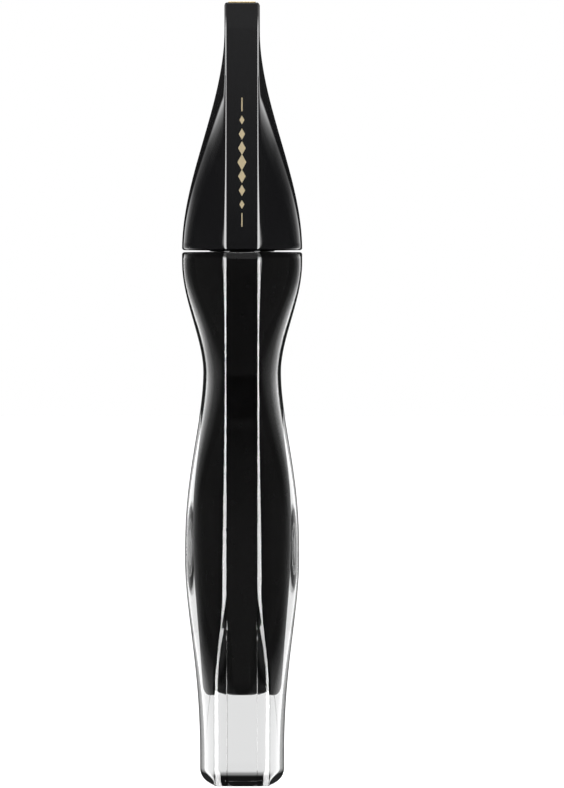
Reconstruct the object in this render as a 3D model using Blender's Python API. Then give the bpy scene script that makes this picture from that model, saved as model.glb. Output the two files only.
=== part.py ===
"""A mascara tube: a clear hourglass shell round a black vial, and a screw cap that carries the wand.

Metres, +Z up, the origin under the middle of the foot. The flat bands face -Y and +Y, the lobes
-X and +X. The cap, its insert, the end plate, the rod and the brush turn and lift about the Z axis.
"""

import math

import bmesh
import bpy

MM = 0.001

# Room between pieces.
FIT = 0.15 * MM
SEAM_GAP = 0.40 * MM
THREAD_CLEARANCE = 0.20 * MM
BRUSH_CLEARANCE = 0.20 * MM
LIP_CLEARANCE = 0.10 * MM
TIP_CLEARANCE = 3.3 * MM
CEILING_CLEARANCE = 0.30 * MM

# Wand.
ROD_RADIUS = 2.15 * MM
ROD_TIP_RADIUS = 1.55 * MM
ROD_TAPER = 2.5 * MM
SPIGOT_RADIUS = 1.25 * MM
WIRE_RADIUS = 0.40 * MM
WIRE_GRIP = 7.0 * MM
WIRE_END = 0.30 * MM
BRUSH_LENGTH = 27.4 * MM
BRUSH_RADIUS = 3.80 * MM
BRUSH_WAIST_RADIUS = 2.65 * MM
BRUSH_STEPS = 16

# Wiper, neck and insert, each fitted round the last.
WIPER_WALL = 0.35 * MM
WIPER_FLANGE = 0.50 * MM
WIPER_CONE = 3.5 * MM
WIPER_DEPTH = 11.0 * MM
WIPER_BORE = BRUSH_RADIUS + BRUSH_CLEARANCE
WIPER_RADIUS = WIPER_BORE + WIPER_WALL
NECK_WALL = 0.75 * MM
NECK_HEIGHT = 9.5 * MM
NECK_BORE = WIPER_RADIUS + FIT
NECK_RADIUS = NECK_BORE + NECK_WALL
THREAD_DEPTH = 0.35 * MM
THREAD_WIDTH = 1.2 * MM
THREAD_PITCH = 3.0 * MM
THREAD_START = 3.0 * MM
THREAD_BEADS = 2
INSERT_BORE = NECK_RADIUS + THREAD_DEPTH + THREAD_CLEARANCE
INSERT_WALL = 0.90 * MM
INSERT_RADIUS = INSERT_BORE + INSERT_WALL
INSERT_TOP = 1.6 * MM
FLANGE_THICKNESS = 1.5 * MM
FLANGE_SET = 0.30 * MM
SEAL_MINOR = 0.40 * MM
SEAL_SIDES = 8
COLLAR_THICKNESS = 1.4 * MM

# Cross-section: a flat band front and back, a lobe on each side.
HALF_DEPTH = 12.25 * MM
BAND_HALF = 2.80 * MM
BODY_BAND_HALF = 2.8 * MM
BEVEL = 0.45 * MM
LOW_BEVEL = 0.75 * MM
FLARED_BEVEL = 2.2 * MM
BEVEL_SLOPE = 0.62
BEVEL_DEPTH = 0.48 * MM
FLARE_LOW = 17.5 * MM
FLARE_HIGH = 36.0 * MM
EDGE = 0.35 * MM
LOBE_FULLNESS = 0.45
LOBE_STEPS = 5
RING_SIDES = 4 * (LOBE_STEPS + 2) - 2

# Walls, which set the widths at the shoulder and at the waist.
CAP_WALL = 1.5 * MM
CAP_SIDE_ROOM = 2.95 * MM
SHOULDER_HALF_WIDTH = INSERT_RADIUS + CAP_SIDE_ROOM + CAP_WALL
VIAL_WALL = 0.9 * MM
SHELL_WALL = 0.5 * MM
BRUSH_ROOM = 1.85 * MM
WAIST_HALF_WIDTH = BRUSH_RADIUS + BRUSH_ROOM + VIAL_WALL + FIT + SHELL_WALL

# Bottle.
BODY_HEIGHT = 98.8 * MM
SHOULDER_DROP = 1.8 * MM
WAIST_HEIGHT = 76.7 * MM
BELLY_HEIGHT = 42.0 * MM
BELLY_HALF_WIDTH = 10.6 * MM
BASE_HALF_WIDTH = 7.8 * MM
FOOT_ROUNDING = 3.0 * MM
FOOT_HALF_WIDTH = 4.4 * MM
FOOT_CHAMFER = 1.2 * MM
BASE_THICKNESS = 16.7 * MM
BOTTLE_LEVELS = 24

# Vial.
VIAL_BOTTOM = BASE_THICKNESS + FIT
VIAL_ROUNDING = 2.0 * MM
VIAL_BOTTOM_HALF = BRUSH_RADIUS - 0.10 * MM
VIAL_BELLY_HEIGHT = 46.0 * MM
VIAL_BELLY_HALF = BRUSH_RADIUS + 2.25 * MM + VIAL_WALL
VIAL_THROAT_HEIGHT = 67.0 * MM
VIAL_THROAT_HALF = 5.2 * MM
VIAL_FLAT_SHARE = 0.35
SHOULDER_SEAT = BODY_HEIGHT - COLLAR_THICKNESS - FIT
NECK_TOP = BODY_HEIGHT + NECK_HEIGHT
VIAL_LEVELS = 24

# Cap.
RIM_Z = BODY_HEIGHT + SEAM_GAP
CAP_LENGTH = 45.8 * MM
CAP_TOP = RIM_Z + CAP_LENGTH
TIP_STRAIGHT = 5.0 * MM
TIP_HALF_WIDTH = BAND_HALF + BEVEL + 0.03 * MM
SOLID_TIP = 17.0 * MM
CAP_LEVELS = 14
PLATE_PROUD = 0.20 * MM
PLATE_THICKNESS = 0.50 * MM
PLATE_MARGIN = 0.75 * MM

# The stack above the neck, from the wiper to the top of the insert, and the wand's lower end.
WIPER_TOP = NECK_TOP + FIT + WIPER_FLANGE
INSERT_CEILING = WIPER_TOP + CEILING_CLEARANCE
INSERT_END = INSERT_CEILING + INSERT_TOP
BRUSH_TIP = VIAL_BOTTOM + VIAL_WALL + TIP_CLEARANCE
ROD_END = BRUSH_TIP + BRUSH_LENGTH


def eased(share, skew=1.0):
    """0 to 1 with a level start and end. A skew above 1 starts it later."""
    bent = min(max(share, 0.0), 1.0) ** skew
    return bent * bent * (3 - 2 * bent)


def between(z, low, high, skew=1.0):
    """The half width at a height, between two (height, half width) stations."""
    return low[1] + (high[1] - low[1]) * eased((z - low[0]) / (high[0] - low[0]), skew)


def steps(low, high, count):
    return [low + (high - low) * step / count for step in range(count + 1)]


def body_half_width(z):
    belly = (BELLY_HEIGHT, BELLY_HALF_WIDTH)
    waist = (WAIST_HEIGHT, WAIST_HALF_WIDTH)
    if z <= FOOT_ROUNDING:
        rise = 1 - z / FOOT_ROUNDING
        return FOOT_HALF_WIDTH + (BASE_HALF_WIDTH - FOOT_HALF_WIDTH) * math.sqrt(1 - rise * rise)
    if z <= BELLY_HEIGHT:
        return between(z, (FOOT_ROUNDING, BASE_HALF_WIDTH), belly, 1.35)
    if z <= WAIST_HEIGHT:
        return between(z, belly, waist, 1.3)
    return between(z, waist, (BODY_HEIGHT - SHOULDER_DROP, SHOULDER_HALF_WIDTH), 0.95)


def cap_half_width(z):
    return between(z, (RIM_Z, SHOULDER_HALF_WIDTH), (CAP_TOP - TIP_STRAIGHT, TIP_HALF_WIDTH))


def vial_half(z, lining):
    """The vial lines the shell above the waist; below it the vial is nearly round."""
    belly = (VIAL_BELLY_HEIGHT, VIAL_BELLY_HALF)
    throat = (VIAL_THROAT_HEIGHT, VIAL_THROAT_HALF)
    if z <= VIAL_BELLY_HEIGHT:
        return between(z, (VIAL_BOTTOM, VIAL_BOTTOM_HALF), belly, 0.7)
    if z <= VIAL_THROAT_HEIGHT:
        return between(z, belly, throat, 1.5)
    return between(z, throat, (WAIST_HEIGHT, lining))


def vial_half_width(z):
    return vial_half(z, body_half_width(max(z, WAIST_HEIGHT)) - SHELL_WALL - FIT)


def vial_half_depth(z):
    return vial_half(z, HALF_DEPTH - SHELL_WALL - FIT)


def vial_band_half(z):
    flat = VIAL_FLAT_SHARE * vial_half_width(min(z, VIAL_THROAT_HEIGHT))
    return between(z, (VIAL_THROAT_HEIGHT, flat), (WAIST_HEIGHT, BODY_BAND_HALF))


def body_bevel(z):
    """The bevel beside the body's bands, which widens downwards and flares over the solid base."""
    if z >= FLARE_HIGH:
        return between(z, (FLARE_HIGH, LOW_BEVEL), (WAIST_HEIGHT, BEVEL), 0.7)
    return between(z, (FLARE_LOW, FLARED_BEVEL), (FLARE_HIGH, LOW_BEVEL))


def lobed(z, half_width, band_half, half_depth, bevel=BEVEL):
    """A ring, anticlockwise from +X: bands front and back, and a lobe of one curve on each side."""
    edge = band_half + bevel
    side = half_depth - min(BEVEL_DEPTH, BEVEL_SLOPE * bevel)
    quarter = [(band_half, half_depth)]
    for step in range(LOBE_STEPS + 1):
        t = step / LOBE_STEPS
        rest = 1 - t
        x = edge * rest * rest + half_width * t * (2 - t)
        y = side * rest * (rest + 2 * t * LOBE_FULLNESS)
        quarter.append((x, y))
    nose_first = quarter[::-1]
    points = nose_first + [(-x, y) for x, y in quarter[:-1]]
    points += [(-x, -y) for x, y in nose_first] + [(x, -y) for x, y in quarter[:-1]]
    return [(x, y, z) for x, y in points]


def circle(z, radius, sides=RING_SIDES):
    turns = [2 * math.pi * side / sides for side in range(sides)]
    return [(radius * math.cos(turn), radius * math.sin(turn), z) for turn in turns]


def body_ring(z, inset=0.0):
    chamfer = FOOT_CHAMFER * max(0.0, 1 - z / FOOT_ROUNDING)
    half_depth = HALF_DEPTH - chamfer - inset
    return lobed(z, body_half_width(z) - inset, BODY_BAND_HALF, half_depth, body_bevel(z))


def vial_ring(z, inset=0.0):
    band_half = vial_band_half(z) - 0.5 * inset
    return lobed(z, vial_half_width(z) - inset, band_half, vial_half_depth(z) - inset)


def vial_heights():
    return steps(VIAL_BOTTOM + VIAL_ROUNDING, SHOULDER_SEAT, VIAL_LEVELS)


def cap_ring(z, inset=0.0):
    return lobed(z, cap_half_width(z) - inset, BAND_HALF, HALF_DEPTH - inset)


def cap_cavity_ring(z, inset=0.0):
    wall = CAP_WALL + inset
    return lobed(z, cap_half_width(z) - wall, BAND_HALF - 0.6 * wall, HALF_DEPTH - wall)


def cap_end_ring(z, inset):
    """The blade's end, drawn in on all sides."""
    return lobed(z, TIP_HALF_WIDTH - inset, BAND_HALF - inset, HALF_DEPTH - inset)


def plate_ring(z, inset=0.0):
    return cap_end_ring(z, PLATE_MARGIN + inset)


def material(name, colour, roughness, metallic=0.0, transmission=0.0):
    made = bpy.data.materials.new(name)
    made.use_nodes = True
    made.diffuse_color = (*colour, 1.0)
    shader = made.node_tree.nodes["Principled BSDF"]
    shader.inputs["Base Color"].default_value = (*colour, 1.0)
    shader.inputs["Roughness"].default_value = roughness
    shader.inputs["Metallic"].default_value = metallic
    shader.inputs["Transmission Weight"].default_value = transmission
    return made


def skin(name, rings, finish, closed=False):
    """One solid through rings of equal count: up the outside, then down the inside.

    A closed one goes back to its first ring, which leaves a hole right through. The faces of two
    walls that follow each other are split along the same diagonals, so the gap between them is even.
    """
    bm = bmesh.new()
    loops = [[bm.verts.new(point) for point in ring] for ring in rings]
    pairs = list(zip(loops, loops[1:]))
    if closed:
        pairs.append((loops[-1], loops[0]))
    for low, high in pairs:
        for side in range(len(low)):
            after = (side + 1) % len(low)
            corners = (low[side], low[after], high[after], high[side])
            if high[side].co.z < low[side].co.z:
                corners = corners[1:] + corners[:1]
            bm.faces.new(corners[:3])
            bm.faces.new((corners[0], *corners[2:]))
    if not closed:
        bm.faces.new(reversed(loops[0]))
        bm.faces.new(loops[-1])
    mesh = bpy.data.meshes.new(name)
    bm.to_mesh(mesh)
    bm.free()
    mesh.shade_smooth()
    mesh.set_sharp_from_angle(angle=math.radians(35))
    mesh.materials.append(finish)
    piece = bpy.data.objects.new(name, mesh)
    bpy.context.scene.collection.objects.link(piece)
    return piece


def make_outer_shell(finish):
    """The clear shell: a solid base, and a pocket that follows the vial."""
    arc = [FOOT_ROUNDING * (1 - math.cos(turn)) for turn in steps(0, math.pi / 2, 4)]
    outside = [body_ring(0.0, EDGE)] + [body_ring(z) for z in arc[1:]]
    top = BODY_HEIGHT - EDGE
    outside += [body_ring(z) for z in steps(FOOT_ROUNDING, top, BOTTLE_LEVELS)[1:]]
    outside.append(body_ring(BODY_HEIGHT, EDGE))
    pocket = [vial_ring(BODY_HEIGHT, -FIT)] + [vial_ring(z, -FIT) for z in vial_heights()[::-1]]
    pocket.append(vial_ring(VIAL_BOTTOM - FIT, VIAL_ROUNDING - FIT))
    return skin("outer_shell", outside + pocket, finish)


def make_inner_vial(finish):
    """The black vial, with a neck that stands above the shell and carries the thread's ridges."""
    outside = [vial_ring(VIAL_BOTTOM, VIAL_ROUNDING)] + [vial_ring(z) for z in vial_heights()]
    neck = [circle(SHOULDER_SEAT, NECK_RADIUS)]
    crest = NECK_RADIUS + THREAD_DEPTH
    for bead in range(THREAD_BEADS):
        low = RIM_Z + THREAD_START + bead * THREAD_PITCH
        neck.append(circle(low, NECK_RADIUS))
        neck.append(circle(low + 0.3 * THREAD_WIDTH, crest))
        neck.append(circle(low + 0.7 * THREAD_WIDTH, crest))
        neck.append(circle(low + THREAD_WIDTH, NECK_RADIUS))
    neck += [circle(NECK_TOP, NECK_RADIUS), circle(NECK_TOP, NECK_BORE)]
    ceiling = SHOULDER_SEAT - VIAL_WALL
    floor = VIAL_BOTTOM + VIAL_WALL
    heights = steps(ceiling, floor + VIAL_ROUNDING, VIAL_LEVELS)
    inside = [circle(ceiling, NECK_BORE)] + [vial_ring(z, VIAL_WALL) for z in heights]
    inside.append(vial_ring(floor, VIAL_WALL + VIAL_ROUNDING))
    return skin("inner_vial", outside + neck + inside, finish)


def make_neck_collar(finish):
    """The plate that closes the shell's mouth round the neck."""
    low = SHOULDER_SEAT + FIT
    hole = NECK_RADIUS + FIT
    rings = [
        vial_ring(low),
        vial_ring(BODY_HEIGHT),
        circle(BODY_HEIGHT, hole),
        circle(low, hole),
    ]
    return skin("neck_collar", rings, finish, closed=True)


def make_seal_ring(finish):
    """The soft ring that lies on the collar, round the foot of the neck."""
    radius = NECK_RADIUS + FIT + SEAL_MINOR
    middle = BODY_HEIGHT + FIT + SEAL_MINOR
    rings = []
    for side in range(SEAL_SIDES):
        turn = 2 * math.pi * side / SEAL_SIDES
        height = middle + SEAL_MINOR * math.sin(turn)
        rings.append(circle(height, radius + SEAL_MINOR * math.cos(turn)))
    return skin("seal_ring", rings, finish, closed=True)


def make_wiper(finish):
    """The soft sleeve in the neck, whose lip strips the rod."""
    lip = ROD_RADIUS + LIP_CLEARANCE
    bottom = NECK_TOP - WIPER_DEPTH
    seat = NECK_TOP + FIT
    rings = [
        circle(bottom, lip),
        circle(bottom, lip + WIPER_WALL),
        circle(bottom + WIPER_CONE, WIPER_RADIUS),
        circle(seat, WIPER_RADIUS),
        circle(seat, NECK_RADIUS),
        circle(WIPER_TOP, NECK_RADIUS),
        circle(WIPER_TOP, WIPER_BORE),
        circle(bottom + WIPER_CONE, WIPER_BORE),
    ]
    return skin("wiper", rings, finish, closed=True)


def make_cap_shell(finish):
    """The black cap: hollow to its ceiling, a solid blade above, and a pocket for the end plate."""
    ceiling = CAP_TOP - SOLID_TIP
    inside = [cap_cavity_ring(z) for z in steps(ceiling, RIM_Z, CAP_LEVELS // 2)]
    blade = CAP_TOP - TIP_STRAIGHT
    face = CAP_TOP - PLATE_PROUD
    floor = CAP_TOP - PLATE_THICKNESS - FIT
    outside = [cap_ring(RIM_Z, EDGE)]
    outside += [cap_ring(z) for z in steps(RIM_Z + EDGE, blade, CAP_LEVELS)]
    outside += [cap_ring(face - EDGE), cap_end_ring(face, EDGE)]
    pocket = [plate_ring(face, -FIT), plate_ring(floor, -FIT)]
    return skin("cap_shell", inside + outside + pocket, finish)


def make_end_plate(finish):
    """The plate let into the blade's end, standing a little proud of it."""
    chamfer = 0.5 * PLATE_PROUD
    rings = [
        plate_ring(CAP_TOP - PLATE_THICKNESS),
        plate_ring(CAP_TOP - chamfer),
        plate_ring(CAP_TOP, chamfer),
    ]
    return skin("end_plate", rings, finish)


def make_cap_insert(finish):
    """The liner that turns on the neck: a flange in the cap's mouth and a tube that holds the rod."""
    low = RIM_Z + FLANGE_SET
    flange_top = low + FLANGE_THICKNESS
    seal_room = 2 * (FIT + SEAL_MINOR)
    mouth = NECK_RADIUS + seal_room + FIT
    mouth_top = BODY_HEIGHT + seal_room + FIT
    hole = SPIGOT_RADIUS + FIT
    rings = [
        circle(low, mouth),
        cap_cavity_ring(low, FIT),
        cap_cavity_ring(flange_top, FIT),
        circle(flange_top, INSERT_RADIUS),
        circle(INSERT_END, INSERT_RADIUS),
        circle(INSERT_END, hole),
        circle(INSERT_CEILING, hole),
        circle(INSERT_CEILING, INSERT_BORE),
        circle(mouth_top, INSERT_BORE),
        circle(mouth_top, mouth),
    ]
    return skin("cap_insert", rings, finish, closed=True)


def make_wand_rod(finish):
    """The rod: a spigot up into the insert, and a blind hole at its end that grips the wire."""
    hole = WIRE_RADIUS + FIT
    shoulder = INSERT_CEILING - FIT
    rings = [
        circle(ROD_END + WIRE_GRIP, hole),
        circle(ROD_END, hole),
        circle(ROD_END, ROD_TIP_RADIUS),
        circle(ROD_END + ROD_TAPER, ROD_RADIUS),
        circle(shoulder, ROD_RADIUS),
        circle(shoulder, SPIGOT_RADIUS),
        circle(INSERT_END, SPIGOT_RADIUS),
    ]
    return skin("wand_rod", rings, finish)


def make_wire_core(finish):
    low = BRUSH_TIP - WIRE_END
    high = ROD_END + WIRE_GRIP - FIT
    rings = [circle(low, WIRE_RADIUS, 12), circle(high, WIRE_RADIUS, 12)]
    return skin("wire_core", rings, finish)


def brush_radius(share):
    """The brush's outline from its tip, 0, to the rod, 1: two swells, a waist and round ends."""
    swell = 0.5 - 0.5 * math.cos(4 * math.pi * (0.035 + 0.93 * share))
    radius = BRUSH_WAIST_RADIUS + (BRUSH_RADIUS - BRUSH_WAIST_RADIUS) * swell
    near_end = min(min(share, 1 - share) / 0.14, 1.0)
    return radius * (0.45 + 0.55 * math.sqrt(1 - (1 - near_end) ** 2))


def make_bristles(finish):
    """The bristles' outer form, bored for the wire."""
    bore = WIRE_RADIUS + FIT
    top = ROD_END - FIT
    rings = [circle(BRUSH_TIP, bore)]
    for step, z in enumerate(steps(BRUSH_TIP, top, BRUSH_STEPS)):
        rings.append(circle(z, brush_radius(step / BRUSH_STEPS)))
    rings.append(circle(top, bore))
    return skin("bristles", rings, finish, closed=True)


def assemble():
    for leftover in list(bpy.data.objects):
        bpy.data.objects.remove(leftover)
    gloss_black = material("gloss_black", (0.010, 0.010, 0.012), 0.06)
    make_outer_shell(material("clear_plastic", (0.96, 0.97, 0.98), 0.02, transmission=1.0))
    make_inner_vial(material("vial_black", (0.006, 0.006, 0.007), 0.15))
    make_neck_collar(material("collar_black", (0.015, 0.015, 0.016), 0.35))
    make_wiper(material("wiper_natural", (0.70, 0.70, 0.68), 0.45))
    make_seal_ring(material("seal_rubber", (0.030, 0.030, 0.030), 0.70))
    wand_axis = bpy.data.objects.new("wand_axis", None)
    bpy.context.scene.collection.objects.link(wand_axis)
    carried = [
        make_cap_shell(gloss_black),
        make_cap_insert(material("insert_black", (0.020, 0.020, 0.020), 0.40)),
        make_end_plate(material("gold", (0.93, 0.76, 0.44), 0.12, metallic=1.0)),
        make_wand_rod(material("rod_black", (0.012, 0.012, 0.012), 0.12)),
        make_wire_core(material("steel_wire", (0.50, 0.50, 0.52), 0.30, metallic=1.0)),
        make_bristles(material("bristle_black", (0.010, 0.010, 0.010), 0.55)),
    ]
    for piece in carried:
        piece.parent = wand_axis


assemble()
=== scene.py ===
"""Looks of the mascara tube: black cap, clear jacket over the black vial, gold plate and wand."""

import math
import random

import bmesh
import bpy
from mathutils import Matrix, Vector


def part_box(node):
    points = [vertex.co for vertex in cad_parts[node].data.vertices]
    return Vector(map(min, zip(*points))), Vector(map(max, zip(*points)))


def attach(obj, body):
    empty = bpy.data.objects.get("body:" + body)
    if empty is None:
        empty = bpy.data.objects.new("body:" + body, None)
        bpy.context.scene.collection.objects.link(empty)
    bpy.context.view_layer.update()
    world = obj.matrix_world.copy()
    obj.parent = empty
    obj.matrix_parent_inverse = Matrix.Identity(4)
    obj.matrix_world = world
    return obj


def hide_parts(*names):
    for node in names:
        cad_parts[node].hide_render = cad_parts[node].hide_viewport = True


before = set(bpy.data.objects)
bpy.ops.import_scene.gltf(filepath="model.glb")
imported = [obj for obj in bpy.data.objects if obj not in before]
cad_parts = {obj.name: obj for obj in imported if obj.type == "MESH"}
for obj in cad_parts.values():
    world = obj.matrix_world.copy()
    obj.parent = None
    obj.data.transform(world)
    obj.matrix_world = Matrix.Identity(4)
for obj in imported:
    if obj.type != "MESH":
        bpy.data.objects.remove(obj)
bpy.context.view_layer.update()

MM = 0.001

# Outline, as in the CAD: half widths at heights, bands front and back, a lobe on each side.
BODY_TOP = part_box("outer_shell")[1].z
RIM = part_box("cap_shell")[0].z
CAP_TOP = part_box("end_plate")[1].z
HALF_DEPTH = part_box("cap_shell")[1].y
SHOULDER_HALF_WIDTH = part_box("cap_shell")[1].x
WAIST_HALF_WIDTH = 7.2 * MM
WAIST_Z = 76.7 * MM
BELLY_Z = 42.0 * MM
BELLY_HALF_WIDTH = 10.6 * MM
SHOULDER_DROP = 1.8 * MM
FOOT_ROUNDING = 3.0 * MM
BASE_HALF_WIDTH = 7.8 * MM
FOOT_CHAMFER = 1.2 * MM
FOOT_HALF_WIDTH = 4.4 * MM
TIP_STRAIGHT = 5.0 * MM
TIP_HALF_WIDTH = 3.28 * MM
CAP_BAND_HALF = 2.80 * MM
BODY_BAND_HALF = 2.8 * MM
BEVEL = 0.45 * MM
LOW_BEVEL = 0.75 * MM
BEVEL_SLOPE = 0.62
BEVEL_DEPTH = 0.48 * MM
CAP_BEVEL = 0.32 * MM
GROOVE = 0.22 * MM
FLARE_LOW = 17.5 * MM
FLARE_HIGH = 36.0 * MM
FLARED_BEVEL = 2.2 * MM
LOBE_FULLNESS = 0.45
EDGE = 0.35 * MM
EDGE_RISE = 0.1 * MM
EDGE_INSET = 0.12 * MM
CAP_WALL = 1.5 * MM
SOLID_TIP = 17.0 * MM
BLADE_EDGE = 0.3 * MM
PLATE_PROUD = 0.2 * MM
PLATE_POCKET = 0.65 * MM
PLATE_MARGIN = 0.6 * MM
PLATE_EDGE = 0.12 * MM

# Cap insert
INSERT_MOUTH = 6.5 * MM
INSERT_BORE = 5.8 * MM
INSERT_RADIUS = 6.65 * MM
INSERT_FLANGE = 1.5 * MM
INSERT_ROOF = 1.6 * MM
SEAL_RECESS = 0.75 * MM
SPIGOT_HOLE = 1.4 * MM

# Ornament
ORNAMENT_LOW = 41.6 * MM
ORNAMENT_HIGH = 17.8 * MM
LOZENGES_EACH_WAY = 3
LOZENGE_PITCH = 2.6 * MM
LINE_WIDTH = 0.22 * MM
FOIL = 0.04 * MM

# Vial
VIAL_WALL = 0.9 * MM
SHELL_WALL = 0.5 * MM
FIT = 0.15 * MM
VIAL_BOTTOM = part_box("inner_vial")[0].z
VIAL_BOTTOM_HALF = 3.7 * MM
VIAL_BELLY_Z = 46.0 * MM
VIAL_BELLY_HALF = 6.95 * MM
VIAL_THROAT_Z = 67.0 * MM
VIAL_THROAT_HALF = 5.2 * MM
VIAL_FLAT_SHARE = 0.35
VIAL_ROUNDING = 2.0 * MM
COLLAR_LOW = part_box("neck_collar")[0].z
NECK_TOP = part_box("inner_vial")[1].z
NECK_RADIUS = 5.25 * MM
NECK_BORE = 4.5 * MM
NECK_EDGE = 0.3 * MM
THREAD_DEPTH = 0.35 * MM
THREAD_PITCH = 3.0 * MM
THREAD_LOW = RIM + 2.6 * MM

# Wiper
LIP_BORE = 2.25 * MM
LIP_RADIUS = 2.6 * MM
LIP_LENGTH = 3.5 * MM
SLEEVE_BORE = 4.0 * MM
SLEEVE_RADIUS = 4.35 * MM
WIPER_RIM = 0.5 * MM

# Wand
ROD_RADIUS = 2.15 * MM
ROD_TIP_RADIUS = 1.55 * MM
ROD_TAPER = 2.5 * MM
ROD_END_EDGE = 0.2 * MM
SPIGOT_RADIUS = 1.25 * MM
SPIGOT_LENGTH = 1.6 * MM
WIRE_HOLE = 0.5 * MM
WIRE_HOLE_DEPTH = 6.9 * MM
STRAND_RADIUS = 0.2 * MM
WIRE_TURNS = 14
BRUSH_WAIST = 2.65 * MM
BRUSH_SWELL = 1.15 * MM
ROUNDED_END = 0.14
BRISTLE_ROWS = 16
BRISTLES_IN_ROW = 210
ROW_TURNS = 7.3
BRISTLE_ROOT = 0.35 * MM
BRISTLE_RADIUS = 0.055 * MM
BRISTLE_TIP_SHARE = 0.45
ROD_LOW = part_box("wand_rod")[0].z
ROD_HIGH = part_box("wand_rod")[1].z
BRUSH_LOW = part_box("bristles")[0].z
BRUSH_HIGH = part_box("bristles")[1].z

# Fineness
LOBE_STEPS = 14
ARC_STEPS = 5
FOOT_STEPS = 10
LEVEL = 1.0 * MM


def eased(share, skew=1.0):
    bent = min(max(share, 0.0), 1.0) ** skew
    return bent * bent * (3 - 2 * bent)


def between(z, low, high, skew=1.0):
    return low[1] + (high[1] - low[1]) * eased((z - low[0]) / (high[0] - low[0]), skew)


def body_half_width(z):
    belly = (BELLY_Z, BELLY_HALF_WIDTH)
    waist = (WAIST_Z, WAIST_HALF_WIDTH)
    if z <= FOOT_ROUNDING:
        rise = 1 - max(z, 0.0) / FOOT_ROUNDING
        return FOOT_HALF_WIDTH + (BASE_HALF_WIDTH - FOOT_HALF_WIDTH) * math.sqrt(1 - rise * rise)
    if z <= BELLY_Z:
        return between(z, (FOOT_ROUNDING, BASE_HALF_WIDTH), belly, 1.35)
    if z <= WAIST_Z:
        return between(z, belly, waist, 1.3)
    return between(z, waist, (BODY_TOP - SHOULDER_DROP, SHOULDER_HALF_WIDTH), 0.95)


def cap_half_width(z):
    tip = (CAP_TOP - TIP_STRAIGHT, TIP_HALF_WIDTH)
    return between(z, (RIM, SHOULDER_HALF_WIDTH), tip)


def vial_half(z, lining):
    """The vial lines the jacket above the waist; below it the vial is nearly round."""
    belly = (VIAL_BELLY_Z, VIAL_BELLY_HALF)
    throat = (VIAL_THROAT_Z, VIAL_THROAT_HALF)
    if z <= VIAL_BELLY_Z:
        return between(z, (VIAL_BOTTOM, VIAL_BOTTOM_HALF), belly, 0.7)
    if z <= VIAL_THROAT_Z:
        return between(z, belly, throat, 1.5)
    return between(z, throat, (WAIST_Z, lining))


def vial_half_width(z):
    return vial_half(z, body_half_width(max(z, WAIST_Z)) - SHELL_WALL - FIT)


def vial_half_depth(z):
    return vial_half(z, HALF_DEPTH - SHELL_WALL - FIT)


def vial_band_half(z):
    flat = VIAL_FLAT_SHARE * vial_half_width(min(z, VIAL_THROAT_Z))
    return between(z, (VIAL_THROAT_Z, flat), (WAIST_Z, BODY_BAND_HALF))


def body_bevel(z):
    """The bevel beside the body's bands, which widens downwards and flares over the clear base."""
    if z >= FLARE_HIGH:
        return between(z, (FLARE_HIGH, LOW_BEVEL), (WAIST_Z, BEVEL), 0.7)
    return between(z, (FLARE_LOW, FLARED_BEVEL), (FLARE_HIGH, LOW_BEVEL))


def lobed(z, half_width, band_half, half_depth, bevel=BEVEL):
    """A ring, anticlockwise from +X, with a shallow bevel between each band and its lobes.

    Where the bevel flares, a fine groove parts it from the band.
    """
    drop = min(BEVEL_DEPTH, BEVEL_SLOPE * bevel)
    edge = band_half + bevel
    side = half_depth - drop
    soft = 0.08 * MM
    groove = GROOVE * max(0.0, bevel - LOW_BEVEL) / (FLARED_BEVEL - LOW_BEVEL)
    quarter = [
        (band_half - soft, half_depth),
        (band_half, half_depth - 0.02 * MM - groove),
        (band_half + soft, half_depth - soft * drop / bevel),
        (edge - soft, side + soft * drop / bevel),
    ]
    for step in range(LOBE_STEPS + 1):
        t = max(step, 0.15) / LOBE_STEPS
        rest = 1 - t
        x = edge * rest * rest + half_width * t * (2 - t)
        y = side * rest * (rest + 2 * t * LOBE_FULLNESS)
        quarter.append((x, y))
    nose_first = quarter[::-1]
    points = nose_first + [(-x, y) for x, y in quarter[:-1]]
    points += [(-x, -y) for x, y in nose_first] + [(x, -y) for x, y in quarter[:-1]]
    return [(x, y, z) for x, y in points]


def steps(low, high, size=LEVEL):
    count = max(1, round(abs(high - low) / size))
    return [low + (high - low) * step / count for step in range(count + 1)]


def foot_chamfer(z):
    """How far the foot's chamfer draws the bands in."""
    return FOOT_CHAMFER * max(0.0, 1 - z / FOOT_ROUNDING)


def body_ring(z, inset=0.0):
    half_depth = HALF_DEPTH - inset - foot_chamfer(z)
    return lobed(z, body_half_width(z) - inset, BODY_BAND_HALF, half_depth, body_bevel(z))


def vial_ring(z, inset=0.0):
    half = vial_band_half(z) - 0.5 * inset
    return lobed(z, vial_half_width(z) - inset, half, vial_half_depth(z) - inset)


def cap_ring(z, inset=0.0):
    half_width = cap_half_width(z) - inset
    return lobed(z, half_width, CAP_BAND_HALF, HALF_DEPTH - inset, CAP_BEVEL)


def cavity_ring(z):
    band_half = CAP_BAND_HALF - 0.6 * CAP_WALL
    return lobed(z, cap_half_width(z) - CAP_WALL, band_half, HALF_DEPTH - CAP_WALL)


def circle(z, radius, sides):
    turns = [2 * math.pi * side / sides for side in range(sides)]
    return [(radius * math.cos(turn), radius * math.sin(turn), z) for turn in turns]


def select(*pieces):
    """Selects these pieces alone, with the first active."""
    bpy.ops.object.select_all(action="DESELECT")
    for piece in pieces:
        piece.select_set(True)
    bpy.context.view_layer.objects.active = pieces[0]


def joined(name, parts):
    select(*parts)
    bpy.ops.object.join()
    parts[0].name = name
    return parts[0]


def linked(name, bm):
    """A new object from a finished bmesh."""
    mesh = bpy.data.meshes.new(name)
    bm.to_mesh(mesh)
    bm.free()
    piece = bpy.data.objects.new(name, mesh)
    bpy.context.scene.collection.objects.link(piece)
    return piece


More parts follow.
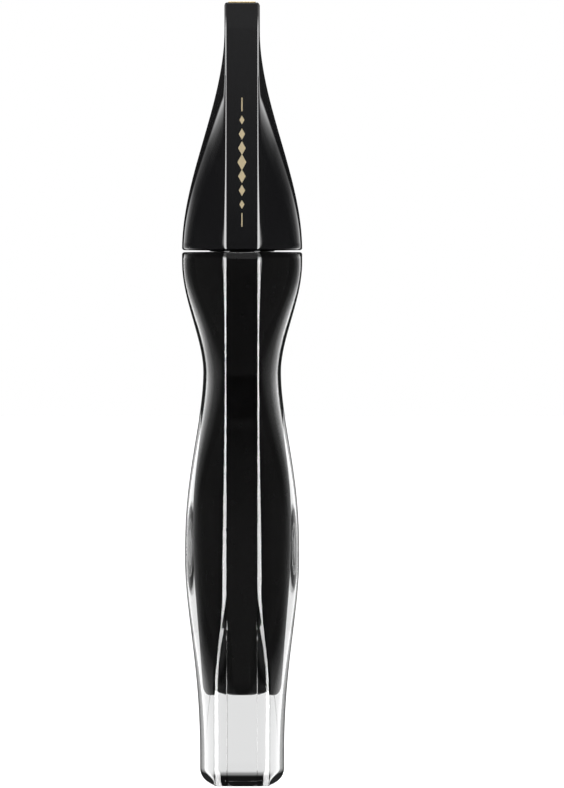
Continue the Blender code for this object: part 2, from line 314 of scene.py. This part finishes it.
def finish(piece, body, node, material, angle=30):
    """Smooths a piece, gives it its material, ties it to its body, and hides the node it stands
    for.
    """
    select(piece)
    bpy.ops.object.shade_smooth_by_angle(angle=math.radians(angle))
    piece.data.materials.clear()
    piece.data.materials.append(material)
    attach(piece, body)
    if node:
        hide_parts(node)
    return piece


def skin(name, rings, closed=False):
    """One solid through rings of equal count: up the outside, then down the inside."""
    bm = bmesh.new()
    loops = [[bm.verts.new(point) for point in ring] for ring in rings]
    pairs = list(zip(loops, loops[1:]))
    if closed:
        pairs.append((loops[-1], loops[0]))
    for low, high in pairs:
        for side in range(len(low)):
            after = (side + 1) % len(low)
            bm.faces.new((low[side], low[after], high[after], high[side]))
    if not closed:
        bm.faces.new(reversed(loops[0]))
        bm.faces.new(loops[-1])
    return linked(name, bm)


def turned(name, outline, sides=72, closed=True):
    """A turned piece: a ring drawn out point by point along its outline of (radius, height)."""
    bpy.ops.object.select_all(action="DESELECT")
    radius, height = outline[0]
    bpy.ops.mesh.primitive_circle_add(vertices=sides, radius=radius, location=(0, 0, height))
    piece = bpy.context.object
    piece.name = name
    bpy.ops.object.transform_apply(location=True)
    bpy.ops.object.mode_set(mode="EDIT")
    bpy.ops.mesh.select_all(action="SELECT")
    for next_radius, next_height in outline[1:]:
        rise = (0, 0, next_height - height)
        bpy.ops.mesh.extrude_region_move(TRANSFORM_OT_translate={"value": rise})
        share = next_radius / radius
        bpy.ops.transform.resize(value=(share, share, 1), center_override=(0, 0, next_height))
        radius, height = next_radius, next_height
    bpy.ops.mesh.select_all(action="DESELECT")
    bpy.ops.mesh.select_non_manifold()
    if closed:
        bpy.ops.mesh.bridge_edge_loops()
    else:
        bpy.ops.mesh.edge_face_add()
    bpy.ops.mesh.select_all(action="SELECT")
    bpy.ops.mesh.normals_make_consistent(inside=False)
    bpy.ops.object.mode_set(mode="OBJECT")
    return piece


# Materials


def shader_of(name, colour, roughness, **more):
    material = bpy.data.materials.new(name)
    material.use_nodes = True
    shader = material.node_tree.nodes["Principled BSDF"]
    shader.inputs["Base Color"].default_value = (*colour, 1.0)
    shader.inputs["Roughness"].default_value = roughness
    for socket, value in more.items():
        shader.inputs[socket.replace("_", " ")].default_value = value
    return material, material.node_tree, shader


def add(tree, kind, **settings):
    node = tree.nodes.new(kind)
    for key, value in settings.items():
        setattr(node, key, value)
    return node


def noise_of(tree, scale, detail=3.0, stretch=(1, 1, 1)):
    """Noise on object coordinates, with its scale in cells to a metre."""
    where = add(tree, "ShaderNodeTexCoord")
    mapping = add(tree, "ShaderNodeMapping")
    mapping.inputs["Scale"].default_value = stretch
    noise = add(tree, "ShaderNodeTexNoise")
    noise.inputs["Scale"].default_value = scale
    noise.inputs["Detail"].default_value = detail
    tree.links.new(where.outputs["Object"], mapping.inputs["Vector"])
    tree.links.new(mapping.outputs["Vector"], noise.inputs["Vector"])
    return noise.outputs["Fac"]


def vary_gloss(tree, shader, factor, low, high):
    """Lets the roughness wander between two values."""
    reach = add(tree, "ShaderNodeMapRange")
    reach.inputs["To Min"].default_value = low
    reach.inputs["To Max"].default_value = high
    tree.links.new(factor, reach.inputs["Value"])
    tree.links.new(reach.outputs["Result"], shader.inputs["Roughness"])


def bumped(tree, shader, height, strength, distance):
    bump = add(tree, "ShaderNodeBump")
    bump.inputs["Strength"].default_value = strength
    bump.inputs["Distance"].default_value = distance
    tree.links.new(height, bump.inputs["Height"])
    tree.links.new(bump.outputs["Normal"], shader.inputs["Normal"])


def polished_black(name):
    """Lacquered black plastic: faint orange peel, and a handling haze that varies the gloss."""
    material, tree, shader = shader_of(name, (0.0035, 0.0035, 0.004), 0.05, IOR=1.5)
    vary_gloss(tree, shader, noise_of(tree, 260.0), 0.03, 0.075)
    bumped(tree, shader, noise_of(tree, 900.0, 1.0), 0.02, 0.00002)
    return material


def moulded_black(name, roughness):
    """Moulded black plastic, with a fine grain."""
    material, tree, shader = shader_of(name, (0.008, 0.008, 0.009), roughness)
    vary_gloss(tree, shader, noise_of(tree, 700.0), roughness - 0.06, roughness + 0.06)
    bumped(tree, shader, noise_of(tree, 4000.0), 0.15, 0.00002)
    return material


def clear_acrylic():
    """Thick clear plastic with a very slight flow in it."""
    material, tree, shader = shader_of(
        "clear_acrylic", (0.985, 0.99, 0.99), 0.0, IOR=1.3, Transmission_Weight=1.0
    )
    shader.inputs["Coat Weight"].default_value = 1.0
    shader.inputs["Coat Roughness"].default_value = 0.0
    shader.inputs["Coat IOR"].default_value = 1.4
    bumped(tree, shader, noise_of(tree, 90.0, 1.0), 0.005, 0.0001)
    return material


def pocket_lacquer():
    """The black coat on the clear jacket's inner wall, seen through the plastic."""
    material, tree, shader = shader_of("pocket_lacquer", (0.002, 0.002, 0.002), 0.25)
    shader.inputs["Specular IOR Level"].default_value = 0.12
    vary_gloss(tree, shader, noise_of(tree, 500.0), 0.18, 0.32)
    return material


def pale_gold():
    """Polished pale gold, brushed very finely along the plate."""
    material, tree, shader = shader_of("pale_gold", (0.90, 0.70, 0.36), 0.16, Metallic=1.0)
    grain = noise_of(tree, 500.0, 4.0, (12.0, 0.6, 12.0))
    vary_gloss(tree, shader, grain, 0.10, 0.24)
    bumped(tree, shader, grain, 0.04, 0.00002)
    return material


def gold_foil():
    """Hot-stamped gold foil, a little uneven."""
    material, tree, shader = shader_of("gold_foil", (1.0, 0.86, 0.58), 0.6, Metallic=1.0)
    grain = noise_of(tree, 3500.0, 3.0)
    vary_gloss(tree, shader, grain, 0.52, 0.66)
    bumped(tree, shader, grain, 0.2, 0.00002)
    return material


def soft_plastic(name, colour, roughness):
    material, tree, shader = shader_of(name, colour, roughness, Subsurface_Weight=0.15)
    shader.inputs["Subsurface Scale"].default_value = 0.0008
    vary_gloss(tree, shader, noise_of(tree, 1500.0), roughness - 0.08, roughness + 0.08)
    return material


def steel():
    material, tree, shader = shader_of("steel", (0.42, 0.42, 0.44), 0.3, Metallic=1.0)
    grain = noise_of(tree, 3000.0, 3.0)
    vary_gloss(tree, shader, grain, 0.22, 0.38)
    return material


def fibre_black():
    """Nylon fibres with a film of mascara."""
    material, tree, shader = shader_of("fibre_black", (0.006, 0.006, 0.006), 0.45)
    vary_gloss(tree, shader, noise_of(tree, 2500.0), 0.32, 0.6)
    return material


# Studio


def camera():
    """A long lens at the level of the tube's middle, with the tube left of the centre."""
    distance = 2.5
    aside, eye_level = 7.4 * MM, 72.5 * MM
    seen_height = 146.2 * MM
    data = bpy.data.cameras.new("camera")
    data.sensor_width = 36.0
    data.lens = data.sensor_width * distance / seen_height
    made = bpy.data.objects.new("camera", data)
    made.location = (aside, -distance, eye_level)
    made.rotation_euler = (math.radians(90), 0, 0)
    bpy.context.scene.collection.objects.link(made)
    bpy.context.scene.camera = made


def ramp(tree, value, low, high, at_low, at_high, course="SMOOTHSTEP"):
    """at_low where value is under low, at_high where it is over high, and a change between."""
    reach = add(tree, "ShaderNodeMapRange", interpolation_type=course)
    names = ("From Min", "From Max", "To Min", "To Max")
    for name, number in zip(names, (low, high, at_low, at_high)):
        reach.inputs[name].default_value = number
    tree.links.new(value, reach.inputs["Value"])
    return reach.outputs["Result"]


def math_node(tree, operation, first, second=None):
    node = add(tree, "ShaderNodeMath", operation=operation)
    for socket, value in zip(node.inputs, (first, second)):
        if isinstance(value, (int, float)):
            socket.default_value = value
        elif value is not None:
            tree.links.new(value, socket)
    return node.outputs[0]


# The softboxes' brightness at angles in degrees, from straight in front to straight behind: an
# upright strip in front, and a tall box that brightens towards its back edge.
SOFTBOX_STOPS = (
    (0, 0.0), (50, 0.0), (54, 1.0), (76, 1.0), (80, 0.003), (103, 0.003),
    (115, 0.04), (126, 0.19), (133, 0.38), (136, 0.003), (180, 0.0),
)


def front_glow(tree, y, z):
    """Soft light in front: a wall that starts over the horizon, and a faint floor under it."""
    over = ramp(tree, z, 0.0085, 0.030, 0.0, 0.42, "LINEAR")
    under = ramp(tree, z, -0.006, -0.001, 0.07, 0.0)
    front = ramp(tree, y, -0.9, -0.5, 1.0, 0.0)
    return math_node(tree, "MULTIPLY", math_node(tree, "ADD", over, under), front)


def softboxes(tree, azimuth, z):
    """A strip and a tall box at each side. The tall boxes lean back, and dim, near eye level."""
    off_level = math_node(tree, "ABSOLUTE", math_node(tree, "ADD", z, 0.04))
    strip = ramp(tree, azimuth, 0.54, 0.62, 1.0, 0.0)
    set_back = ramp(tree, off_level, 0.0, 0.4, 16 / 180, 0.0)
    angle = add(tree, "ShaderNodeMix")
    tree.links.new(strip, angle.inputs["Factor"])
    tree.links.new(math_node(tree, "SUBTRACT", azimuth, set_back), angle.inputs["A"])
    tree.links.new(azimuth, angle.inputs["B"])
    boxes = add(tree, "ShaderNodeValToRGB")
    stops = boxes.color_ramp.elements
    for degrees, level in SOFTBOX_STOPS[1:-1]:
        stops.new(degrees / 180)
    for stop, (degrees, level) in zip(stops, SOFTBOX_STOPS):
        stop.position = degrees / 180
        stop.color = (level, level, level, 1)
    tree.links.new(angle.outputs["Result"], boxes.inputs["Fac"])
    dimmed_high = ramp(tree, z, 0.03, 0.15, 10.0, 0.9, "LINEAR")
    dimmed_level = ramp(tree, math_node(tree, "ADD", off_level, strip), 0.02, 0.24, 0.45, 1.5)
    strength = math_node(tree, "MULTIPLY", dimmed_high, dimmed_level)
    return math_node(tree, "MULTIPLY", boxes.outputs["Color"], strength)


def reflected_light(tree, x, y, z):
    """What mirrors in the tube: a dark room, a soft glow in front, and softboxes at each side."""
    ahead = math_node(tree, "MULTIPLY", y, -1.0)
    turn = math_node(tree, "ARCTAN2", math_node(tree, "ABSOLUTE", x), ahead)
    azimuth = math_node(tree, "DIVIDE", turn, math.pi)
    lights = math_node(tree, "ADD", front_glow(tree, y, z), softboxes(tree, azimuth, z))
    room = ramp(tree, azimuth, 0.72, 0.78, 0.045, 0.01)
    return math_node(tree, "ADD", lights, room)


def light_through(tree, x, y, z):
    """What shows through clear plastic: a white card behind, grey in front, dark high up and low.

    A dark flag stands at each side of the card, and a bright card straight beside the tube.
    """
    sideways = math_node(tree, "ABSOLUTE", x)
    card = ramp(tree, sideways, 0.06, 0.25, 0.8, 0.92)
    flagged = math_node(tree, "MULTIPLY", card, ramp(tree, sideways, 0.55, 0.97, 1.0, 0.05))
    beside = ramp(tree, sideways, 0.982, 0.992, 0.0, 0.7)
    wall = math_node(tree, "ADD", flagged, beside)
    back = ramp(tree, y, -0.1, 0.3, 0.45, 1.0)
    low = ramp(tree, z, -0.75, -0.55, 0.03, 1.0)
    height = math_node(tree, "MULTIPLY", low, ramp(tree, z, 0.05, 0.12, 1.0, 0.005))
    return math_node(tree, "MULTIPLY", math_node(tree, "MULTIPLY", wall, back), height)


def choose(tree, test, otherwise, chosen):
    """A mix of two shaders: chosen for the rays that pass the test."""
    mix = add(tree, "ShaderNodeMixShader")
    tree.links.new(test, mix.inputs["Fac"])
    tree.links.new(otherwise, mix.inputs[1])
    tree.links.new(chosen, mix.inputs[2])
    return mix.outputs[0]


def surroundings():
    """A white background, with other light for reflections and for clear plastic."""
    world = bpy.data.worlds.new("studio")
    bpy.context.scene.world = world
    world.use_nodes = True
    tree = world.node_tree
    tree.nodes.clear()
    out = add(tree, "ShaderNodeOutputWorld")
    path = add(tree, "ShaderNodeLightPath")
    where = add(tree, "ShaderNodeTexCoord")
    split = add(tree, "ShaderNodeSeparateXYZ")
    tree.links.new(where.outputs["Generated"], split.inputs["Vector"])
    seen = add(tree, "ShaderNodeBackground")
    seen.inputs["Color"].default_value = (1, 1, 1, 1)
    mirrored = add(tree, "ShaderNodeBackground")
    tree.links.new(reflected_light(tree, *split.outputs), mirrored.inputs["Color"])
    through = add(tree, "ShaderNodeBackground")
    tree.links.new(light_through(tree, *split.outputs), through.inputs["Color"])
    lit = choose(tree, path.outputs["Is Transmission Ray"], mirrored.outputs[0], through.outputs[0])
    shown = choose(tree, path.outputs["Is Camera Ray"], lit, seen.outputs[0])
    tree.links.new(shown, out.inputs["Surface"])


def make_floor():
    bpy.ops.object.select_all(action="DESELECT")
    bpy.ops.mesh.primitive_circle_add(
        vertices=96, radius=40.0, fill_type="NGON", location=(0, 0, -0.02 * MM)
    )
    floor = bpy.context.object
    floor.name = "floor"
    material, tree, shader = shader_of("floor_white", (0.9, 0.9, 0.9), 0.6)
    shader.inputs["Emission Color"].default_value = (1, 1, 1, 1)
    shader.inputs["Emission Strength"].default_value = 1.0
    floor.data.materials.append(material)
    floor.visible_glossy = False
    floor.visible_transmission = False


def overhead_lamp():
    data = bpy.data.lights.new("overhead", "AREA")
    data.shape = "RECTANGLE"
    data.size, data.size_y = 0.9, 0.5
    data.energy = 5.0
    lamp = bpy.data.objects.new("overhead", data)
    lamp.location = (0, -0.25, 0.9)
    aim = Vector((0, 0, 0.07)) - lamp.location
    lamp.rotation_euler = aim.to_track_quat("-Z", "Y").to_euler()
    bpy.context.scene.collection.objects.link(lamp)


def studio():
    scene = bpy.context.scene
    scene.view_settings.view_transform = "Standard"
    scene.view_settings.look = "None"
    scene.cycles.max_bounces = 24
    scene.cycles.transmission_bounces = 24
    scene.cycles.glossy_bounces = 12
    scene.cycles.transparent_max_bounces = 16
    surroundings()
    make_floor()
    overhead_lamp()


# Pieces


def make_shell(material, lacquer):
    """The clear jacket, solid at its foot. Its pocket is lacquered black, so no air gap shows."""
    outside = [body_ring(0.0, EDGE)]
    for step in range(1, FOOT_STEPS + 1):
        turn = math.pi / 2 * step / FOOT_STEPS
        outside.append(body_ring(FOOT_ROUNDING * (1 - math.cos(turn))))
    outside += [body_ring(z) for z in steps(FOOT_ROUNDING, BODY_TOP - EDGE)[1:]]
    outside += [body_ring(BODY_TOP - EDGE_RISE, EDGE_INSET), body_ring(BODY_TOP, EDGE)]
    heights = steps(VIAL_BOTTOM + VIAL_ROUNDING, BODY_TOP)[::-1]
    pocket = [vial_ring(z, -FIT) for z in heights]
    for step in range(1, ARC_STEPS + 1):
        turn = math.pi / 2 * step / ARC_STEPS
        z = VIAL_BOTTOM + VIAL_ROUNDING * (1 - math.sin(turn)) - FIT * math.sin(turn)
        pocket.append(vial_ring(z, VIAL_ROUNDING * (1 - math.cos(turn)) - FIT))
    piece = skin("clear_shell", outside + pocket)
    finish(piece, "tube", "outer_shell", material, 50)
    piece.data.materials.append(lacquer)
    ring = len(outside[0])
    first_inside = ring * (len(outside) - 1)
    for face in piece.data.polygons:
        if min(face.vertices) >= first_inside and max(face.vertices) >= first_inside + ring:
            face.material_index = 1
    return piece


def make_vial(material):
    outside = []
    for step in range(ARC_STEPS + 1):
        turn = math.pi / 2 * step / ARC_STEPS
        z = VIAL_BOTTOM + VIAL_ROUNDING * (1 - math.cos(turn))
        outside.append(vial_ring(z, VIAL_ROUNDING * (1 - math.sin(turn))))
    seat = COLLAR_LOW - FIT
    outside += [vial_ring(z) for z in steps(VIAL_BOTTOM + VIAL_ROUNDING, seat)[1:]]
    sides = len(outside[0])
    neck = [circle(seat, NECK_RADIUS, sides)]
    neck += [circle(NECK_TOP - NECK_EDGE, NECK_RADIUS, sides)]
    neck += [circle(NECK_TOP, NECK_RADIUS - NECK_EDGE, sides), circle(NECK_TOP, NECK_BORE, sides)]
    ceiling = seat - VIAL_WALL
    floor = VIAL_BOTTOM + VIAL_WALL
    inside = [circle(ceiling, NECK_BORE, sides)]
    inside += [vial_ring(z, VIAL_WALL) for z in steps(ceiling, floor + VIAL_ROUNDING)]
    inside.append(vial_ring(floor, VIAL_WALL + 1.5 * MM))
    piece = skin("vial", outside + neck + inside)
    return finish(piece, "tube", "inner_vial", material)


def make_thread(material):
    """The neck's helical thread, which runs out at both ends."""
    sides, turns = 48, 1.6
    half = 0.55 * MM
    rows = []
    count = int(sides * turns)
    for step in range(count + 1):
        turn = 2 * math.pi * step / sides
        z = THREAD_LOW + THREAD_PITCH * step / sides
        fade = min(1.0, step / 8, (count - step) / 8)
        crest = NECK_RADIUS - 0.05 * MM + THREAD_DEPTH * fade
        root = NECK_RADIUS - 0.15 * MM
        shape = [(root, -half), (crest, -0.35 * half), (crest, 0.35 * half), (root, half)]
        rows.append([(r * math.cos(turn), r * math.sin(turn), z + dz) for r, dz in shape])
    piece = skin("neck_thread", rows)
    select(piece)
    bpy.ops.object.mode_set(mode="EDIT")
    bpy.ops.mesh.select_all(action="SELECT")
    bpy.ops.mesh.normals_make_consistent(inside=False)
    bpy.ops.object.mode_set(mode="OBJECT")
    return finish(piece, "tube", None, material, 50)


def make_cap(material):
    """The cap's shell: hollow, a soft edge at the seam, and a pocket for the plate at its end."""
    ceiling = CAP_TOP - SOLID_TIP
    inside = [cavity_ring(z) for z in steps(ceiling, RIM, 2 * LEVEL)]
    face = CAP_TOP - PLATE_PROUD
    blade = CAP_TOP - TIP_STRAIGHT
    outside = [cap_ring(RIM, EDGE), cap_ring(RIM + EDGE_RISE, EDGE_INSET)]
    outside += [cap_ring(z) for z in steps(RIM + EDGE, blade)]
    outside += [cap_ring(face - BLADE_EDGE)]
    for step in range(1, 5):
        turn = math.pi / 2 * step / 4
        inset = BLADE_EDGE * (1 - math.cos(turn))
        z = face - BLADE_EDGE * (1 - math.sin(turn))
        wide, band, deep = TIP_HALF_WIDTH - inset, CAP_BAND_HALF - inset, HALF_DEPTH - inset
        outside.append(lobed(z, wide, band, deep, CAP_BEVEL))
    inset = PLATE_MARGIN
    wide, band, deep = TIP_HALF_WIDTH - inset, CAP_BAND_HALF - inset, HALF_DEPTH - inset
    pocket = [lobed(z, wide, band, deep) for z in (face, CAP_TOP - PLATE_POCKET)]
    piece = skin("cap", inside + outside + pocket)
    return finish(piece, "cap", "cap_shell", material)


def make_plate(material):
    """The gold plate: a block with soft edges."""
    low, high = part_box("end_plate")
    bpy.ops.object.select_all(action="DESELECT")
    bpy.ops.mesh.primitive_cube_add(size=1.0, location=(low + high) / 2)
    piece = bpy.context.object
    piece.name = "gold_plate"
    piece.scale = high - low
    bpy.ops.object.transform_apply(location=True, scale=True)
    bevel = piece.modifiers.new("soft_edges", "BEVEL")
    bevel.width = PLATE_EDGE
    bevel.segments = 3
    bpy.ops.object.modifier_apply(modifier=bevel.name)
    return finish(piece, "cap", "end_plate", material)


def make_ornament(material):
    """A plain gold line down the front band, broken by a row of small lozenges."""
    low, high = CAP_TOP - ORNAMENT_LOW, CAP_TOP - ORNAMENT_HIGH
    middle = (low + high) / 2
    parts = []
    for index in range(-LOZENGES_EACH_WAY, LOZENGES_EACH_WAY + 1):
        place = (0, -HALF_DEPTH, middle + index * LOZENGE_PITCH)
        bpy.ops.mesh.primitive_cylinder_add(vertices=4, radius=1.0, depth=1.0, location=place)
        part = bpy.context.object
        part.rotation_euler = (math.radians(90), 0, 0)
        bpy.ops.object.transform_apply(location=False, rotation=True, scale=False)
        half_tall = (1.5 - 0.22 * abs(index)) * MM
        part.scale = (0.55 * half_tall, FOIL, half_tall)
        parts.append(part)
    ends = LOZENGES_EACH_WAY * LOZENGE_PITCH + 1.6 * MM
    for start, end in ((low, middle - ends), (middle + ends, high)):
        place = (0, -HALF_DEPTH, (start + end) / 2)
        bpy.ops.mesh.primitive_cube_add(size=1.0, location=place)
        part = bpy.context.object
        part.scale = (LINE_WIDTH, FOIL, end - start)
        parts.append(part)
    piece = joined("gold_ornament", parts)
    bpy.ops.object.transform_apply(location=True, rotation=True, scale=True)
    return finish(piece, "cap", None, material)


def make_rod(material):
    shoulder = ROD_HIGH - SPIGOT_LENGTH
    outline = [(WIRE_HOLE, ROD_LOW + WIRE_HOLE_DEPTH), (WIRE_HOLE, ROD_LOW)]
    for step in range(7):
        turn = math.pi / 2 * step / 6
        radius = ROD_TIP_RADIUS - ROD_END_EDGE + ROD_END_EDGE * math.sin(turn)
        outline.append((radius, ROD_LOW + ROD_END_EDGE * (1 - math.cos(turn))))
    for step in range(1, 9):
        share = step / 8
        radius = ROD_TIP_RADIUS + (ROD_RADIUS - ROD_TIP_RADIUS) * math.sin(math.pi / 2 * share)
        outline.append((radius, ROD_LOW + ROD_END_EDGE + ROD_TAPER * share))
    straight = ROD_LOW + 3.5 * MM
    outline += [(ROD_RADIUS, z) for z in steps(straight, shoulder, 10 * LEVEL)]
    outline += [(SPIGOT_RADIUS, shoulder), (SPIGOT_RADIUS, ROD_HIGH)]
    piece = turned("rod", outline, 64, closed=False)
    return finish(piece, "cap", "wand_rod", material)


def brush_radius(share):
    """The brush's outline from its tip, 0, to the rod, 1."""
    swell = 0.5 - 0.5 * math.cos(4 * math.pi * (0.035 + 0.93 * share))
    radius = BRUSH_WAIST + BRUSH_SWELL * swell
    from_end = 1 - min(min(share, 1 - share) / ROUNDED_END, 1.0)
    return radius * (0.45 + 0.55 * math.sqrt(1 - from_end ** 2))


def make_bristles(material):
    """Thin cones that leave the wire in rows that wind round it, each a little out of line."""
    random.seed(7)
    bm = bmesh.new()
    length = BRUSH_HIGH - BRUSH_LOW
    count = BRISTLE_ROWS * BRISTLES_IN_ROW
    for index in range(count):
        share = index / (count - 1)
        z = BRUSH_LOW + length * share
        angle = 2 * math.pi * index / BRISTLES_IN_ROW * ROW_TURNS + random.uniform(-0.2, 0.2)
        reach = brush_radius(share) * random.uniform(0.86, 1.0)
        lean = random.uniform(-0.44, 0.44) * MM
        along = Vector((math.cos(angle), math.sin(angle), 0))
        across = Vector((-math.sin(angle), math.cos(angle), 0)) * BRISTLE_RADIUS
        up = Vector((0, 0, 0.87 * BRISTLE_RADIUS))
        root = Vector((0, 0, z)) + along * BRISTLE_ROOT
        tip = along * reach
        tip.z = min(max(z + lean, BRUSH_LOW), BRUSH_HIGH)
        corners = [across, up - 0.5 * across, -0.5 * across - up]
        low = [bm.verts.new(root + corner) for corner in corners]
        high = [bm.verts.new(tip + BRISTLE_TIP_SHARE * corner) for corner in corners]
        for side in range(3):
            after = (side + 1) % 3
            bm.faces.new((low[side], low[after], high[after], high[side]))
        bm.faces.new(low[::-1])
        bm.faces.new(high)
    bmesh.ops.recalc_face_normals(bm, faces=bm.faces)
    piece = linked("bristle_tufts", bm)
    return finish(piece, "cap", "bristles", material, 60)


def make_wire(material):
    """Two strands twisted together."""
    low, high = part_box("wire_core")
    count = 240
    strands = []
    for first in (0.0, math.pi):
        rows = []
        for step in range(count + 1):
            z = low.z + (high.z - low.z) * step / count
            turn = first + 2 * math.pi * WIRE_TURNS * step / count
            x, y = STRAND_RADIUS * math.cos(turn), STRAND_RADIUS * math.sin(turn)
            rows.append([(x + px, y + py, z) for px, py, _ in circle(0, STRAND_RADIUS, 8)])
        strands.append(skin("strand", rows))
    piece = joined("twisted_wire", strands)
    return finish(piece, "cap", "wire_core", material, 60)


def make_seal(material):
    low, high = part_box("seal_ring")
    minor = (high.z - low.z) / 2
    major = high.x - minor
    bpy.ops.object.select_all(action="DESELECT")
    bpy.ops.mesh.primitive_torus_add(
        major_radius=major, minor_radius=minor, major_segments=72, minor_segments=16,
        location=(0, 0, (low.z + high.z) / 2),
    )
    piece = bpy.context.object
    piece.name = "seal"
    bpy.ops.object.transform_apply(location=True)
    return finish(piece, "seal", "seal_ring", material)


def make_wiper(material):
    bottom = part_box("wiper")[0].z
    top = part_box("wiper")[1].z
    soft = 0.1 * MM
    outline = [
        (LIP_BORE, bottom),
        (LIP_RADIUS, bottom),
        (SLEEVE_RADIUS, bottom + LIP_LENGTH),
        (SLEEVE_RADIUS, top - WIPER_RIM),
        (NECK_RADIUS - soft, top - WIPER_RIM),
        (NECK_RADIUS, top - WIPER_RIM + soft),
        (NECK_RADIUS, top - soft),
        (NECK_RADIUS - soft, top),
        (SLEEVE_BORE + 2 * soft, top),
        (SLEEVE_BORE, top - 2 * soft),
        (SLEEVE_BORE, bottom + LIP_LENGTH),
    ]
    piece = turned("wiper_sleeve", outline)
    return finish(piece, "tube", "wiper", material)


def make_collar(material):
    low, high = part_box("neck_collar")[0].z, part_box("neck_collar")[1].z
    hole = NECK_RADIUS + FIT
    soft = 0.15 * MM
    sides = len(vial_ring(low))
    rings = [
        vial_ring(low),
        vial_ring(high - soft),
        vial_ring(high, soft),
        circle(high, hole + soft, sides),
        circle(high - soft, hole, sides),
        circle(low, hole, sides),
    ]
    piece = skin("collar", rings, closed=True)
    return finish(piece, "tube", "neck_collar", material)


def make_insert(material):
    """The liner: a flange that fills the cap, a tube round the neck, and a roof for the rod."""
    low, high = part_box("cap_insert")[0].z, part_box("cap_insert")[1].z
    flange = low + INSERT_FLANGE
    ceiling = high - INSERT_ROOF
    recess = low + SEAL_RECESS
    sides = len(cavity_ring(low))

    def flange_ring(z):
        return [(x * 0.985, y * 0.987, z) for x, y, _ in cavity_ring(z)]

    rings = [
        circle(low, INSERT_MOUTH, sides),
        flange_ring(low),
        flange_ring(flange),
        circle(flange, INSERT_RADIUS, sides),
        circle(high, INSERT_RADIUS, sides),
        circle(high, SPIGOT_HOLE, sides),
        circle(ceiling, SPIGOT_HOLE, sides),
        circle(ceiling, INSERT_BORE, sides),
        circle(recess, INSERT_BORE, sides),
        circle(recess, INSERT_MOUTH - 0.15 * MM, sides),
    ]
    piece = skin("liner", rings, closed=True)
    return finish(piece, "cap", "cap_insert", material)


camera()
studio()
make_shell(clear_acrylic(), pocket_lacquer())
make_vial(polished_black("vial_lacquer"))
make_thread(moulded_black("neck_black", 0.3))
make_collar(moulded_black("collar_black", 0.32))
make_wiper(soft_plastic("natural_plastic", (0.78, 0.78, 0.75), 0.4))
make_seal(moulded_black("seal_rubber", 0.6))
make_cap(polished_black("polished_black"))
make_plate(pale_gold())
make_ornament(gold_foil())
make_insert(moulded_black("liner_black", 0.4))
make_rod(polished_black("rod_lacquer"))
make_wire(steel())
make_bristles(fibre_black())
